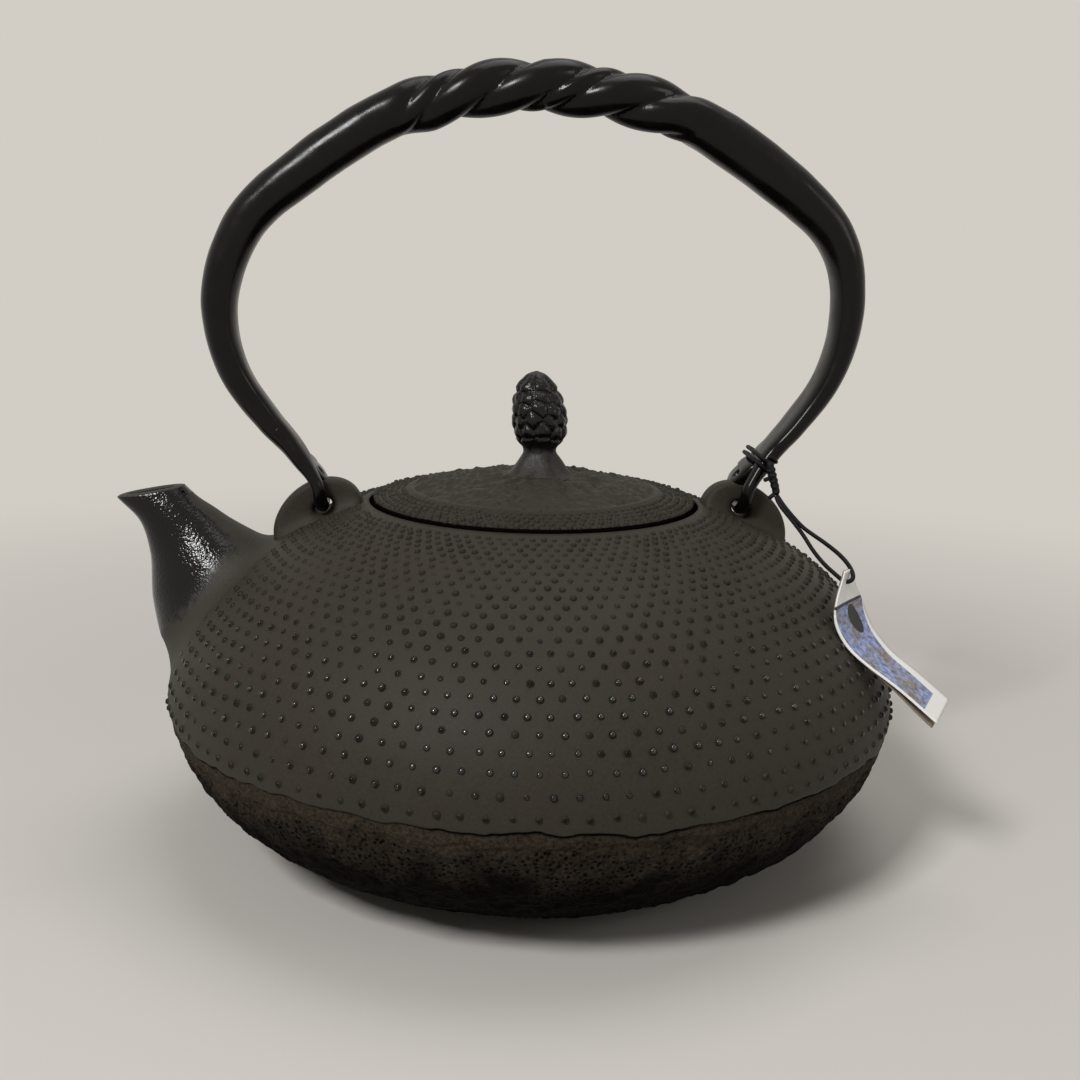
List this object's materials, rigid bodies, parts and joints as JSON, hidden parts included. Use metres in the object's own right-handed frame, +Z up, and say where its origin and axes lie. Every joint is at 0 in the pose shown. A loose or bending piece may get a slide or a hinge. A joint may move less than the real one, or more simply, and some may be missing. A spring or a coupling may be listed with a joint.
{
  "type": "cast iron teapot",
  "caption": "Cast iron teapot with a dotted flat-round body, short spout, flush lid with a pine cone knob, hanging strainer, twisted swinging bail and a paper hang tag.",
  "frame": {"origin": "centre of the flat resting face under the pot", "axes": "+Z up, spout towards -X, the bail's hinge line along X and its swing towards +Y and -Y; -Y is the side with the hang tag"},
  "size_m": [0.2002, 0.185, 0.1956],
  "materials": {
    "cast_iron": "matte warm dark grey, fine cast grain with raised dots",
    "lacquered_iron": "glossy black lacquer over cast iron",
    "strainer_steel": "bright stainless sheet and woven wire",
    "cord": "black twisted thread",
    "tag_paper": "white coated paper with a plain blue panel"
  },
  "bodies": {
    "pot": {"kettle_body": "cast_iron", "tag_cord": "cord"},
    "lid": {"lid": "cast_iron", "lid_knob": "lacquered_iron", "knob_washer": "strainer_steel"},
    "strainer": {"strainer_rim": "strainer_steel", "strainer_mesh": "strainer_steel", "strainer_base": "strainer_steel"},
    "handle": {"bail_handle": "lacquered_iron", "tag_cord_hitch": "cord", "tag_cord_knot": "cord"},
    "tag": {"hang_tag": "tag_paper"}
  },
  "joints": [
    {"name": "lid_lift", "type": "slide", "parent": "pot", "child": "lid", "axis": [0, 0, 1], "range_m": [0, 0.055]},
    {"name": "strainer_lift", "type": "slide", "parent": "pot", "child": "strainer", "axis": [0, 0, 1], "range_m": [0, 0.044]},
    {"name": "handle_swing", "type": "hinge", "parent": "pot", "child": "handle", "pos_m": [0, 0, 0.0916], "axis": [1, 0, 0], "range_deg": [-65, 50], "deforming": ["tag_cord"]},
    {"name": "tag_flap", "type": "hinge", "parent": "pot", "child": "tag", "pos_m": [0.0701, -0.03886, 0.0761], "axis": [-0.4848, -0.8746, 0], "range_deg": [0, 50], "deforming": ["tag_cord"]}
  ],
  "couplings": [
    {"joint": "strainer_lift", "follows": "lid_lift", "ratio": 0.8}
  ]
}
